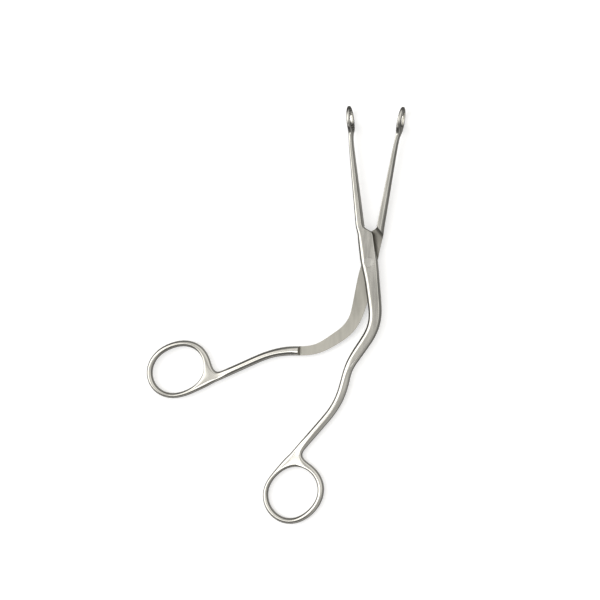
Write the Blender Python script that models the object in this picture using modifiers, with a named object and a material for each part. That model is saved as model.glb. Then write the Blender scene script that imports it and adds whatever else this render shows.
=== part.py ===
"""Magill forceps: two drop-forged halves that cross in a lap joint and turn on one flush rivet.

Each half is one forging: a fenestrated, serrated tip, a slim jaw, the lapped joint at half
thickness, a doubly bent arm and a finger ring. The forceps lie flat with +Z up. The rivet's axis
is the Z axis, z = 0 is the joint's back face, and +Y is the line in which the jaws close. Each
half is drawn with its jaws closed, and its object is then turned open about the rivet.

The outer side of a half is the side that its jaw lies on, seen from the closing line.
"""

import math

import bmesh
import bpy
from mathutils import Matrix, Vector

# Lengths are in millimetres and angles in degrees. UNIT makes the lengths metres.
UNIT = 0.001

# Joint
JOINT_THICKNESS = 6.2      # both halves together
JOINT_WIDTH = 9.4          # of each half, across the rivet
JOINT_OUTER_ROUNDING = 3.4
JOINT_INNER_ROUNDING = 0.8
LAP_GAP = 0.2              # between the two lap faces
LAP_END_LEAN = 0.9         # of a recess's end walls, from the lap face out to the joint's face
LAP_STOPS = 8              # straight pieces of a recess's sides, which lie off the arm
OPEN_ANGLE = 19.4          # between the jaws as they lie
RIVET_RADIUS = 2.2
RIVET_HEAD_RADIUS = 2.9
RIVET_HEAD_HEIGHT = 1.1
RIVET_GAP = 0.08           # running clearance round the rivet
RIVET_SIDES = 40

# Crotch: the corner and the slope at which one half stops against the other's shoulder
CROTCH_CORNER_X = 4.6
CROTCH_CORNER_Y = 16.4
CROTCH_SLOPE = 38.7
CROTCH_RADIUS = 2.4
CROTCH_ROWS = (0.2, 0.4, 0.62, 0.83, 1.0)  # cage rows, as shares of the way down the crotch
JOINT_ROWS = (1.3, 6.5, 12.0)              # and below its corner

# Jaws, from the crotch to the tip
JAW_REACH = 92.0           # from the rivet's axis to the end of the tip
JAW_GAP = 0.4              # from the closing line to a jaw's inner edge, below the tip
JAW_THICKNESS_NECK = 4.2
JAW_OUTER_ROUNDING = 2.1
JAW_INNER_ROUNDING = 0.8
JAW_ROWS = 7               # even cage rows between the crotch and the neck
JAW_ROW_AT_CROTCH = 2.0    # one more row, above the crotch's top
JAW_ROWS_FROM = 5.0        # above the crotch's top
NECK_ROW = 1.5             # from the neck down to the jaw's first row

# Tips: an oval loop that stands across the plane of the forceps
GRIP_GAP = 0.3             # between the two serrated faces when the jaws are closed
TIP_LENGTH = 16.6
TIP_HEIGHT = 10.0
TIP_THICKNESS_FOOT = 2.9
TIP_THICKNESS_END = 1.8
TIP_FOOT_ROWS = (0.33, 0.7)                # cage rows, as shares of the way down the foot
WINDOW_LENGTH = 9.0
WINDOW_HEIGHT = 5.6
WINDOW_END_RIM = 3.0       # from the window to the end of the tip
LOOP_ROWS = 12
SERRATION_PITCH = 1.0
SERRATION_DEPTH = 0.35
SERRATION_WIDTH = 0.72
SERRATION_LIFT = 0.06      # of the cutter's middle from the gripping face
SERRATION_FOOT = 1.6       # from the tip's foot to the first groove
SERRATION_END = 0.8        # from the last groove to the tip's end, at least

# Arms
ARM_INNER_ROUNDING = 1.5   # reached at the lap's middle
ROUNDED_SHARE = 0.45       # of a width, the most that one rounding takes
SHANK_THICKNESS = 4.5
SHANK_BLEND = 13.0         # over which the flat lapped arm turns into the round shank
ROW_STEP = 5.6             # between two cage rows

# Finger rings
RING_BAND = 3.5            # radial width of the ring
RING_THICKNESS = 4.1
RING_ROWS = 15
WEB_THICKNESS = 3.7
WEB_EDGE = 1.5             # rounding along the web's edges
WEB_ROWS = 3.5             # ring rows over which the web's flat section turns round, at each end
WEB_CUT_BACK = 4.0         # from the web's corner back along the shank to its middle row
WEB_LEAD = 20.0            # by which the ring's first and last rows lean along its rim
WEB_LAG = 25.0
WEB_INNER_STEP = 9.0       # round the rim, from the web's corner to its middle row
WEB_SHARES = (0.45, 0.85, 1.04)            # places of cage points from the web's middle to an edge
FILLET_ANGLE = 24.0        # round the rim, from the web's corner to the end of its fillet
FILLET_POWER = 4           # the higher, the later the fillet leaves the rim
RING_FULLNESS = 0.017      # by which the hole is fuller than an oval, at its four diagonals

# The two halves. Each bend is a straight, a radius and a turn; turns to the left are positive
# for someone who looks down at the arm from the rivet. Widths are (distance from rivet, width).
FRONT = {
    "side": -1,                    # of the closing line on which the jaw lies
    "layer": 1,                    # it keeps the upper half of the joint
    "joint_outer": 5.8,            # from the rivet to the outer edge, above the rivet
    "jaw_width": 4.75,             # at the crotch
    "neck_width": 2.55,            # below the tip
    "jaw_set": 0.75,               # by which the closed jaw stands to the left of the closing line
    "heading": 1.2,                # of the arm as it leaves the rivet
    "bends": ((27.1, 24.6, 41.9), (14.6, 29.3, -22.3), (4.5, 44.1, 28.6)),
    "last_straight": 47.6,         # up to a point abreast of the ring's centre
    "widths": ((18.0, 8.6), (40.0, 7.2), (58.0, 6.6), (67.0, 5.2), (78.0, 5.5), (92.0, 4.9)),
    "shoulder_gap": 1.3,           # between its shoulder and the half that closes against it
    "lap_end": 73.0,               # where the arm gets its whole thickness back
    "round_from": 61.5,            # where the flat arm starts to turn into the round shank
    "web_corner": 19.9,            # from the ring's centre to the web's inner corner, along the shank
    "ring_offset": 13.9,           # from the shank's centre line to the ring's centre
    "ring_tilt": -7.7,             # of the ring's long axis from the shank, to the outer side
    "hole_length": 32.5,
    "hole_width": 27.6,
}
REAR = {
    "side": 1,
    "layer": -1,
    "joint_outer": 4.1,
    "jaw_width": 4.3,
    "neck_width": 2.3,
    "jaw_set": 0.65,
    "heading": 3.1,
    "bends": ((29.9, 22.6, 43.1), (10.2, 27.5, 34.3), (2.0, 54.9, -25.8)),
    "last_straight": 49.5,
    "widths": ((8.0, 10.6), (22.0, 8.8), (34.0, 7.3), (52.0, 6.7), (66.0, 5.5), (82.0, 5.4), (92.0, 4.6)),
    "shoulder_gap": 0.35,
    "lap_end": 74.5,
    "round_from": 72.5,
    "web_corner": 21.3,
    "ring_offset": 13.6,
    "ring_tilt": 1.4,
    "hole_length": 34.6,
    "hole_width": 26.0,
}

# Subdivision pulls a cage of 12 or 8 points inside its circle; these put it back on it
ROUND_12 = 3 / (2 + math.cos(math.radians(30)))
ROUND_8 = 3 / (2 + math.cos(math.radians(45)))
CAGE_POINTS = 12           # in each row across a half
CORNER = 0.45              # of a rounding, where its cage point lies
BULGE = CORNER / 2         # of a rounding, by which the side's cage point stands out


def smooth_step(low, high, value):
    """0 below low, 1 above high, and an even S between them."""
    share = min(max((value - low) / (high - low), 0.0), 1.0)
    return share * share * (3 - 2 * share)


def blend(first, second, share):
    return first + (second - first) * share


def read_stations(stations, value):
    """The second number of a list of pairs, straight between the pairs' first numbers."""
    for (near, near_size), (far, far_size) in zip(stations, stations[1:]):
        if value <= far:
            return blend(near_size, far_size, max(value - near, 0.0) / (far - near))
    return stations[-1][1]


def along_arm(half, distance):
    """Centre and heading of an arm at a distance from the rivet. Heading 0 points to -Y."""
    place = Vector((0.0, 0.0))
    heading = math.radians(half["heading"])
    for straight, radius, turn in half["bends"] + ((half["last_straight"], 1.0, 0.0),):
        step = min(distance, straight)
        place -= step * Vector((math.sin(heading), math.cos(heading)))
        distance -= step
        swing = min(distance / radius, math.radians(abs(turn)))
        middle = heading + math.copysign(swing / 2, turn)
        place -= 2 * radius * math.sin(swing / 2) * Vector((math.sin(middle), math.cos(middle)))
        heading += math.copysign(swing, turn)
        distance -= swing * radius
    return place, heading


def outward(half, heading):
    """Unit vector across an arm, towards the half's outer side."""
    return half["side"] * Vector((math.cos(heading), -math.sin(heading)))


def arm_length(half):
    bends = sum(straight + radius * math.radians(abs(turn)) for straight, radius, turn in half["bends"])
    return bends + half["last_straight"]


def arm_width(half, distance):
    return read_stations(((0.0, JOINT_WIDTH),) + half["widths"], distance)


def cage_row(centre, out, outer, inner, half_height, outer_rounding, inner_rounding, roundness):
    """Twelve cage points of a section, clockwise from the top middle by way of the outer side.

    outer and inner are the distances from the centre to the two edges. At roundness 0 the
    section is flat with rounded edges, and at 1 it is an ellipse.
    """
    flat_outer = outer - outer_rounding
    flat_inner = inner_rounding - inner
    flat = (
        ((flat_outer + flat_inner) / 2, half_height),
        (flat_outer, half_height),
        (outer - CORNER * outer_rounding, half_height),
        (outer + BULGE * outer_rounding, 0.0),
        (CORNER * inner_rounding - inner, half_height),
        (flat_inner, half_height),
    )
    outline = [flat[0], flat[1], flat[2], flat[3]]
    outline += [(across, -height) for across, height in (flat[2], flat[1], flat[0], flat[5], flat[4])]
    outline += [(-inner - BULGE * inner_rounding, 0.0), flat[4], flat[5]]
    middle = (outer - inner) / 2
    reach = (outer + inner) / 2 * ROUND_12
    points = []
    for index, (across, height) in enumerate(outline):
        angle = math.radians(90 - 30 * index)
        across = blend(across, middle + reach * math.cos(angle), roundness)
        height = blend(height, half_height * ROUND_12 * math.sin(angle), roundness)
        place = centre + across * out
        points.append((place.x, place.y, height))
    return points


def inner_edge(y):
    """Reach of a half across the closing line, at a height above the rivet, before its set."""
    slope = math.radians(CROTCH_SLOPE)
    turn = math.radians(90) - slope
    meet = CROTCH_CORNER_Y + (CROTCH_CORNER_X + JAW_GAP) * math.tan(slope)
    tangent = CROTCH_RADIUS * math.tan(turn / 2)
    if y <= CROTCH_CORNER_Y:
        return CROTCH_CORNER_X
    if y <= meet - tangent * math.sin(slope):
        return CROTCH_CORNER_X - (y - CROTCH_CORNER_Y) / math.tan(slope)
    if y <= meet + tangent:
        rise = meet + tangent - y
        return CROTCH_RADIUS - JAW_GAP - math.sqrt(CROTCH_RADIUS ** 2 - rise ** 2)
    return -JAW_GAP


def crotch_top():
    slope = math.radians(CROTCH_SLOPE)
    meet = CROTCH_CORNER_Y + (CROTCH_CORNER_X + JAW_GAP) * math.tan(slope)
    return meet + CROTCH_RADIUS * math.tan((math.radians(90) - slope) / 2)


def jaw_row(half, y):
    """Cage row across a half at a height above the rivet, below the tip."""
    top = crotch_top()
    neck = JAW_REACH - TIP_LENGTH
    set_share = smooth_step(CROTCH_CORNER_Y, top + 1, y) * (1 - smooth_step(neck - 4, neck + 3, y))
    inner = inner_edge(y)
    along = (y - top) / (neck - top)
    width = blend(half["jaw_width"], half["neck_width"], min(max(along, 0.0), 1.0))
    jaw_share = smooth_step(CROTCH_CORNER_Y - 8, top + 3, y)
    outer = blend(half["joint_outer"], width + JAW_GAP, jaw_share)
    half_height = blend(JOINT_THICKNESS, JAW_THICKNESS_NECK, min(max(along, 0.0), 1.0)) / 2
    jaw_rounding = min(JAW_OUTER_ROUNDING, ROUNDED_SHARE * width)
    return cage_row(
        Vector((-half["jaw_set"] * set_share, y)), Vector((half["side"], 0.0)), outer, inner, half_height,
        blend(JOINT_OUTER_ROUNDING, jaw_rounding, jaw_share),
        blend(JOINT_INNER_ROUNDING, JAW_INNER_ROUNDING, jaw_share), 0.0)


def tip_outline(angle):
    """Height above the rivet and half height of the tip's oval, at an angle from its end."""
    middle = JAW_REACH - TIP_LENGTH / 2
    return middle + TIP_LENGTH / 2 * math.cos(angle), TIP_HEIGHT / 2 * math.sin(angle)


def window_foot():
    return JAW_REACH - WINDOW_END_RIM - WINDOW_LENGTH


def tip_point(half, depth, y, z):
    """A point of the tip; depth 0 is the serrated face and depth 1 the back."""
    thickness = blend(TIP_THICKNESS_END, TIP_THICKNESS_FOOT, (JAW_REACH - y) / TIP_LENGTH)
    return (half["side"] * (GRIP_GAP / 2 + depth * thickness), y, z)


# A point across the tip's section: how far out from the window, and how deep from the serrations
TIP_SECTION = ((0.0, 0.0), (0.88, 0.0), (1.02, 0.2), (1.03, 0.5), (0.96, 0.85), (0.6, 1.0), (0.0, 1.0))
UPPER_CHAIN = (9, 10, 11, 0, 1, 2, 3)      # of a cage row, from the inner side over the top
LOWER_CHAIN = (9, 8, 7, 6, 5, 4, 3)


def tip_row(half, y):
    """Cage row across the solid foot of the tip, below its window."""
    share = (y - (JAW_REACH - TIP_LENGTH / 2)) / (TIP_LENGTH / 2)
    oval = TIP_HEIGHT / 2 * math.sqrt(max(1 - share * share, 0.0))
    half_height = max(oval, JAW_THICKNESS_NECK / 2)
    points = [None] * CAGE_POINTS
    for chain, sign in ((UPPER_CHAIN, 1), (LOWER_CHAIN, -1)):
        for index, (out, depth) in zip(chain, TIP_SECTION):
            points[index] = tip_point(half, depth, y, sign * out * half_height)
    return points


def loop_row(half, index):
    """Seven cage points of the loop round the window, counted from its foot over the top."""
    turn = 1 - 2 * index / LOOP_ROWS
    window_angle = math.pi * turn
    foot = window_foot()
    middle = JAW_REACH - TIP_LENGTH / 2
    foot_angle = math.acos((foot - middle) / (TIP_LENGTH / 2))
    outer_y, outer_z = tip_outline(foot_angle * turn)
    inner_y = foot + WINDOW_LENGTH / 2 * (1 + math.cos(window_angle))
    inner_z = WINDOW_HEIGHT / 2 * math.sin(window_angle)
    return [tip_point(half, depth, blend(inner_y, outer_y, out), blend(inner_z, outer_z, out))
            for out, depth in TIP_SECTION]


def arm_row(half, distance, last):
    """Cage row across an arm; the last one passes through the web's inner corner."""
    centre, heading = along_arm(half, distance)
    width = arm_width(half, distance)
    shank_share = smooth_step(half["round_from"], half["round_from"] + SHANK_BLEND, distance)
    web_share = smooth_step(last - 2 * ROW_STEP, last, distance)
    thickness = blend(JOINT_THICKNESS, SHANK_THICKNESS,
                      smooth_step(JOINT_WIDTH, half["round_from"] + SHANK_BLEND, distance))
    thickness = blend(thickness, WEB_THICKNESS, web_share)
    arm_inner = blend(JOINT_INNER_ROUNDING, ARM_INNER_ROUNDING, smooth_step(0, half["round_from"] / 2, distance))
    outer_rounding = min(blend(JOINT_OUTER_ROUNDING, WEB_EDGE, shank_share), ROUNDED_SHARE * width)
    inner_rounding = min(blend(arm_inner, WEB_EDGE, shank_share), ROUNDED_SHARE * width)
    outer = blend(half["joint_outer"], width / 2, smooth_step(0, JOINT_WIDTH, distance))
    return cage_row(centre, outward(half, heading), outer, width / 2, thickness / 2,
                    outer_rounding, inner_rounding, shank_share * (1 - web_share))


class Ring:
    """The finger ring in its own plane: angles run from the shank to the half's outer side."""

    def __init__(self, half):
        self.half = half
        end, heading = along_arm(half, arm_length(half))
        self.across = outward(half, heading)
        self.along = Vector((math.sin(heading), math.cos(heading)))
        self.centre = end - half["ring_offset"] * self.across
        self.half_width = arm_width(half, arm_length(half)) / 2

    def place(self, along, across):
        return self.centre + along * self.along + across * self.across

    def hole(self, angle):
        """Radius of the finger hole."""
        turned = angle - math.radians(self.half["ring_tilt"])
        oval = 1 / math.hypot(2 * math.cos(turned) / self.half["hole_length"],
                              2 * math.sin(turned) / self.half["hole_width"])
        return oval * (1 - RING_FULLNESS * math.cos(4 * turned))

    def rim(self, angle):
        """Radius of the ring's outer edge, which runs into both edges of the shank."""
        tilt = math.radians(self.half["ring_tilt"])
        hole_reach = math.hypot(self.half["hole_length"] / 2 * math.sin(tilt),
                                self.half["hole_width"] / 2 * math.cos(tilt))
        outer_line = self.half["ring_offset"] + self.half_width
        tangent_band = min(outer_line - hole_reach, RING_BAND)
        band = blend(RING_BAND, tangent_band, max(math.sin(angle), 0.0) ** 2)
        radius = self.hole(angle) + band
        corner_across = self.half["ring_offset"] - self.half_width
        corner_angle = math.atan2(corner_across, self.half["web_corner"])
        if corner_angle < angle < math.pi / 2:
            return max(radius, outer_line / math.sin(angle))
        fillet_start = corner_angle - math.radians(FILLET_ANGLE)
        if fillet_start < angle <= corner_angle:
            share = (angle - fillet_start) / (corner_angle - fillet_start)
            return blend(radius, math.hypot(corner_across, self.half["web_corner"]), share ** FILLET_POWER)
        return radius

    def at(self, radius, angle):
        """Cage point; the subdivision then draws it in to the radius."""
        reach = radius * 3 / (2 + math.cos(2 * math.pi / RING_ROWS))
        return self.place(reach * math.cos(angle), reach * math.sin(angle))


def flat_points(inner, outer, half_height):
    """Eight cage points of a flat section with rounded edges, from the outer edge over the top."""
    out = (outer - inner).normalized()
    middle = (inner + outer) / 2
    across = [(outer + BULGE * WEB_EDGE * out, 0), (outer - CORNER * WEB_EDGE * out, 1), (middle, 1),
              (inner + CORNER * WEB_EDGE * out, 1), (inner - BULGE * WEB_EDGE * out, 0)]
    across += [(place, -1) for place, _ in across[3:0:-1]]
    return [(place, sign * half_height) for place, sign in across]


def round_points(inner, outer, half_height):
    """Eight cage points of an oval section, in the same order."""
    middle = (inner + outer) / 2
    reach = (outer - inner) / 2 * ROUND_8
    return [(middle + math.cos(math.radians(45 * index)) * reach,
             half_height * ROUND_8 * math.sin(math.radians(45 * index))) for index in range(8)]


def ring_row(ring, index):
    """Eight cage points of the ring, counted from the web by way of the half's outer side."""
    shank_angle = math.atan2(ring.half["ring_offset"], ring.half["web_corner"])
    angle = shank_angle + 2 * math.pi * index / RING_ROWS
    lead = math.radians(WEB_LEAD) * max(1 - index / WEB_ROWS, 0.0)
    lag = math.radians(WEB_LAG) * max(1 - (RING_ROWS - index) / WEB_ROWS, 0.0)
    rim_angle = (angle + lead - lag + math.pi) % (2 * math.pi) - math.pi
    inner = ring.at(ring.hole(angle), angle)
    outer = ring.at(ring.rim(rim_angle), rim_angle)
    roundness = smooth_step(0, WEB_ROWS, min(index, RING_ROWS - index))
    flat = flat_points(inner, outer, WEB_THICKNESS / 2)
    oval = round_points(inner, outer, RING_THICKNESS / 2)
    points = []
    for (flat_place, flat_height), (oval_place, oval_height) in zip(flat, oval):
        place = flat_place.lerp(oval_place, roundness)
        points.append((place.x, place.y, blend(flat_height, oval_height, roundness)))
    return points


def web_row(ring):
    """Cage row halfway between the arm's last row and the ring's hole."""
    corner = ring.place(ring.half["web_corner"], ring.half["ring_offset"])
    shank_angle = math.atan2(ring.half["ring_offset"], ring.half["web_corner"])
    middle = (corner + ring.at(ring.hole(shank_angle), shank_angle)) / 2
    outer_line = ring.half["ring_offset"] + ring.half_width
    outer = ring.place(ring.half["web_corner"] - WEB_CUT_BACK, outer_line)
    corner_angle = math.atan2(ring.half["ring_offset"] - ring.half_width, ring.half["web_corner"])
    inner_angle = corner_angle - math.radians(WEB_INNER_STEP)
    inner = ring.at(ring.rim(inner_angle), inner_angle)
    height = WEB_THICKNESS / 2
    near, far, edge = WEB_SHARES
    points = []
    for place, share, level in (
            (middle, 0.0, 1), (outer, near, 1), (outer, far, 1), (outer, edge, 0),
            (outer, far, -1), (outer, near, -1), (middle, 0.0, -1), (inner, near, -1),
            (inner, far, -1), (inner, edge, 0), (inner, far, 1), (inner, near, 1)):
        spot = middle.lerp(place, share)
        points.append((spot.x, spot.y, level * height))
    return points


class Cage:
    """Quads between rows of points, with the creases that keep an edge crisp."""

    def __init__(self):
        self.points = []
        self.faces = []
        self.creases = []

    def add(self, points):
        first = len(self.points)
        self.points += points
        return list(range(first, len(self.points)))

    def bridge(self, near, far):
        for index in range(len(near)):
            following = (index + 1) % len(near)
            self.faces.append((near[index], near[following], far[following], far[index]))

    def mesh(self, name, lift):
        """The cage as a mesh in metres, raised by lift millimetres."""
        cage = bmesh.new()
        corners = [cage.verts.new(UNIT * (Vector(point) + Vector((0, 0, lift)))) for point in self.points]
        for face in self.faces:
            cage.faces.new([corners[index] for index in face])
        bmesh.ops.recalc_face_normals(cage, faces=cage.faces)
        sharpness = cage.edges.layers.float.new("crease_edge")
        for chain, amount in self.creases:
            members = {corners[index] for index in chain}
            for edge in cage.edges:
                if edge.verts[0] in members and edge.verts[1] in members:
                    edge[sharpness] = amount
        mesh = bpy.data.meshes.new(name)
        cage.to_mesh(mesh)
        cage.free()
        mesh.shade_smooth()
        return mesh


def half_cage(half):
    """The forging's cage, from the tip's loop down the jaw and the arm to the finger ring."""
    cage = Cage()
    neck = JAW_REACH - TIP_LENGTH
    foot = window_foot()

    # Tip: two solid rows, then a loop whose two ends share the window's foot
    foot_row = cage.add(tip_row(half, foot))
    loop = [cage.add(loop_row(half, index)) for index in range(1, LOOP_ROWS)]
    loop.insert(0, [foot_row[index] for index in UPPER_CHAIN])
    loop.append([foot_row[index] for index in LOWER_CHAIN])
    for near, far in zip(loop, loop[1:]):
        cage.bridge(near, far)
    solid_rows = [foot_row]
    solid_rows += [cage.add(tip_row(half, blend(foot, neck, share))) for share in TIP_FOOT_ROWS]
    grip_rim = [row[1] for row in loop] + [row[index] for row in solid_rows for index in (8, 10)]
    cage.creases.append((grip_rim, 0.75))
    cage.creases.append(([row[0] for row in loop], 0.3))

    # Jaw and crotch
    top = crotch_top()
    heights = [blend(neck - NECK_ROW, top + JAW_ROWS_FROM, index / JAW_ROWS) for index in range(JAW_ROWS + 1)]
    heights += [top + JAW_ROW_AT_CROTCH, top]
    heights += [blend(top, CROTCH_CORNER_Y, share) for share in CROTCH_ROWS]
    heights += [CROTCH_CORNER_Y - down for down in JOINT_ROWS]
    rows = solid_rows + [cage.add(jaw_row(half, height)) for height in heights]

    # Arm
    last = arm_length(half) - half["web_corner"]
    count = round(last / ROW_STEP)
    rows += [cage.add(arm_row(half, last * index / count, last)) for index in range(count + 1)]

    # Finger ring: a closed chain whose first and last rows share the hole's edge
    ring = Ring(half)
    rows.append(cage.add(web_row(ring)))
    first = ring_row(ring, 0)
    final = ring_row(ring, RING_ROWS)
    hole_top, hole_side, hole_foot = cage.add(first[3:6])
    outer_side = cage.add([first[2], first[1], first[0], first[7], first[6]])
    inner_side = cage.add([final[6], final[7], final[0], final[1], final[2]])
    rows.append([hole_top] + outer_side + [hole_foot] + inner_side)
    chain = [[outer_side[2], outer_side[1], outer_side[0], hole_top, hole_side, hole_foot,
              outer_side[4], outer_side[3]]]
    chain += [cage.add(ring_row(ring, index)) for index in range(1, RING_ROWS)]
    chain.append([inner_side[2], inner_side[3], inner_side[4], hole_top, hole_side, hole_foot,
                  inner_side[0], inner_side[1]])
    for near, far in zip(chain, chain[1:]):
        cage.bridge(near, far)

    for near, far in zip(rows, rows[1:]):
        cage.bridge(near, far)
    return cage


def steel(name, colour, roughness):
    """Material of a stainless steel piece."""
    material = bpy.data.materials.new(name)
    material.use_nodes = True
    shader = material.node_tree.nodes["Principled BSDF"]
    shader.inputs["Base Color"].default_value = (*colour, 1.0)
    shader.inputs["Metallic"].default_value = 1.0
    shader.inputs["Roughness"].default_value = roughness
    return material


def turned_profile(name, profile):
    """Object turned about the Z axis from (radius, height) points that run down its outer side."""
    mesh = bpy.data.meshes.new(name)
    corners = [(radius * UNIT, 0.0, height * UNIT) for radius, height in profile]
    mesh.from_pydata(corners, [(index, index + 1) for index in range(len(corners) - 1)], [])
    turned = bpy.data.objects.new(name, mesh)
    screw = turned.modifiers.new("turn", "SCREW")
    screw.steps = RIVET_SIDES
    screw.render_steps = RIVET_SIDES
    screw.use_merge_vertices = True
    screw.merge_threshold = 0.00001
    screw.use_smooth_shade = False
    return turned


def rivet_profile(gap, overrun):
    """Rivet with a cone-backed head flush with each face, or the bore that it runs in."""
    head = RIVET_HEAD_RADIUS + gap
    shaft = RIVET_RADIUS + gap
    top = JOINT_THICKNESS
    middle = [(head, top), (shaft, top - RIVET_HEAD_HEIGHT), (shaft, RIVET_HEAD_HEIGHT), (head, 0.0)]
    if overrun:
        middle = [(head, top + overrun)] + middle + [(head, -overrun)]
    return [(0.0, top + overrun)] + middle + [(0.0, -overrun)]


def prism(name, lower, upper, low, high):
    """Solid between two plan outlines at two heights."""
    count = len(lower)
    points = [(x * UNIT, y * UNIT, low * UNIT) for x, y in lower]
    points += [(x * UNIT, y * UNIT, high * UNIT) for x, y in upper]
    faces = [tuple(range(count)), tuple(range(count, 2 * count))]
    for near in range(count):
        far = (near + 1) % count
        faces.append((near, far, count + far, count + near))
    mesh = bpy.data.meshes.new(name)
    mesh.from_pydata(points, [], faces)
    solid = bmesh.new()
    solid.from_mesh(mesh)
    bmesh.ops.recalc_face_normals(solid, faces=solid.faces)
    solid.to_mesh(mesh)
    solid.free()
    return bpy.data.objects.new(name, mesh)


def lap_outline(half, lean):
    """Plan of the lap recess, with both end walls moved out by a lean."""
    reach = JOINT_WIDTH
    slope = math.tan(math.radians(CROTCH_SLOPE))
    clearance = (half["shoulder_gap"] + lean) / math.cos(math.radians(CROTCH_SLOPE))
    crest = CROTCH_CORNER_Y + slope * CROTCH_CORNER_X + clearance
    outline = [(-half["side"] * reach, crest + slope * reach), (half["side"] * reach, crest - slope * reach)]
    far_side = []
    for index in range(LAP_STOPS + 1):
        centre, heading = along_arm(half, (half["lap_end"] + lean) * index / LAP_STOPS)
        out = outward(half, heading)
        outline.append(tuple(centre + reach * out))
        far_side.append(tuple(centre - reach * out))
    return outline + far_side[::-1]


def lap_recess(half, name):
    """Cutter that halves the joint's thickness between a half's two shoulders."""
    middle = JOINT_THICKNESS / 2
    overrun = 3
    at_lap = lap_outline(half, 0.0)
    outside = lap_outline(half, overrun * LAP_END_LEAN)
    if half["layer"] > 0:
        return prism(name, outside, at_lap, middle - overrun * middle, middle + LAP_GAP / 2)
    return prism(name, at_lap, outside, middle - LAP_GAP / 2, middle + overrun * middle)


def serration_teeth(half, name):
    """Cutter with one square bar, set on edge, for each groove across the gripping face."""
    bars = bmesh.new()
    first = JAW_REACH - TIP_LENGTH + SERRATION_FOOT
    count = int((JAW_REACH - SERRATION_END - first) / SERRATION_PITCH)
    face = half["side"] * (GRIP_GAP / 2 - SERRATION_LIFT)
    for index in range(count + 1):
        place = Vector((face, first + index * SERRATION_PITCH, JOINT_THICKNESS / 2)) * UNIT
        size = Vector((SERRATION_DEPTH, SERRATION_WIDTH / 2, TIP_HEIGHT)) * UNIT * math.sqrt(2)
        on_edge = Matrix.Rotation(math.radians(45), 4, "Z")
        shape = Matrix.Translation(place) @ Matrix.Diagonal((size.x, size.y, size.z, 1.0)) @ on_edge
        bmesh.ops.create_cube(bars, size=1.0, matrix=shape)
    mesh = bpy.data.meshes.new(name)
    bars.to_mesh(mesh)
    bars.free()
    return bpy.data.objects.new(name, mesh)


def cut(target, cutter, cutters):
    """Subtracts a cutter that turns with its target and is never rendered."""
    cutters.objects.link(cutter)
    cutter.parent = target
    cutter.hide_render = True
    cutter.display_type = "WIRE"
    modifier = target.modifiers.new(cutter.name, "BOOLEAN")
    modifier.operation = "DIFFERENCE"
    modifier.solver = "EXACT"
    modifier.object = cutter


def make_half(half, name, material, parts, cutters):
    """One forged half: the subdivided cage, lapped, bored and serrated."""
    body = bpy.data.objects.new(name, half_cage(half).mesh(name, JOINT_THICKNESS / 2))
    body.data.materials.append(material)
    body.rotation_euler.z = -half["side"] * math.radians(OPEN_ANGLE) / 2
    parts.objects.link(body)
    subdivision = body.modifiers.new("forged_form", "SUBSURF")
    subdivision.levels = 1
    subdivision.render_levels = 1
    cut(body, lap_recess(half, name + "_lap"), cutters)
    cut(body, turned_profile(name + "_bore", rivet_profile(RIVET_GAP, 1.0)), cutters)
    cut(body, serration_teeth(half, name + "_teeth"), cutters)
    return body


def make_rivet(front_half, material, parts):
    """Rivet, closed flush with the front and the back, that turns with the front half."""
    rivet = turned_profile("pivot_rivet", rivet_profile(0.0, 0.0))
    rivet.data.materials.append(material)
    rivet.rotation_euler.z = front_half.rotation_euler.z
    parts.objects.link(rivet)
    return rivet


def main():
    for item in list(bpy.data.objects):
        bpy.data.objects.remove(item, do_unlink=True)
    parts = bpy.data.collections.new("magill_forceps")
    cutters = bpy.data.collections.new("cutters")
    bpy.context.scene.collection.children.link(parts)
    bpy.context.scene.collection.children.link(cutters)

    satin = steel("satin_steel", (0.62, 0.61, 0.58), 0.3)
    rivet_steel = steel("rivet_steel", (0.58, 0.57, 0.55), 0.35)
    front_half = make_half(FRONT, "front_half", satin, parts, cutters)
    make_half(REAR, "rear_half", satin, parts, cutters)
    make_rivet(front_half, rivet_steel, parts)


main()
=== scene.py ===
"""Looks of the Magill forceps: both forged halves at a fine subdivision, in satin steel on white."""

import math

import bmesh
import bpy
from mathutils import Matrix, Vector

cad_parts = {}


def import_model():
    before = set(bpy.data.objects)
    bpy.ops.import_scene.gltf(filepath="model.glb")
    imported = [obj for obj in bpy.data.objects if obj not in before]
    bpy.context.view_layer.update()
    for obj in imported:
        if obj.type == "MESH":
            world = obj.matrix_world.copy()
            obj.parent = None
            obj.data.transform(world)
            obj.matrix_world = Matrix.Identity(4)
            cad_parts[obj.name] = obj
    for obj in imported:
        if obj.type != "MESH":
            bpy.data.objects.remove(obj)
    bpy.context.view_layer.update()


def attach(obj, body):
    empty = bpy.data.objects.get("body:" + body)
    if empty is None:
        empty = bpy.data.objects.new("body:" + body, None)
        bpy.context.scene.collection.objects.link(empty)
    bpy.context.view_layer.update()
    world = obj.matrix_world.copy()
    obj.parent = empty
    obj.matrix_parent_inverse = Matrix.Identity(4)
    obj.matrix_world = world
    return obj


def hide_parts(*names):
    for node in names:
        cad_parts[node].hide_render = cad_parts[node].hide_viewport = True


# Lengths are in millimetres and angles in degrees. UNIT makes the lengths metres.
UNIT = 0.001

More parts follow.
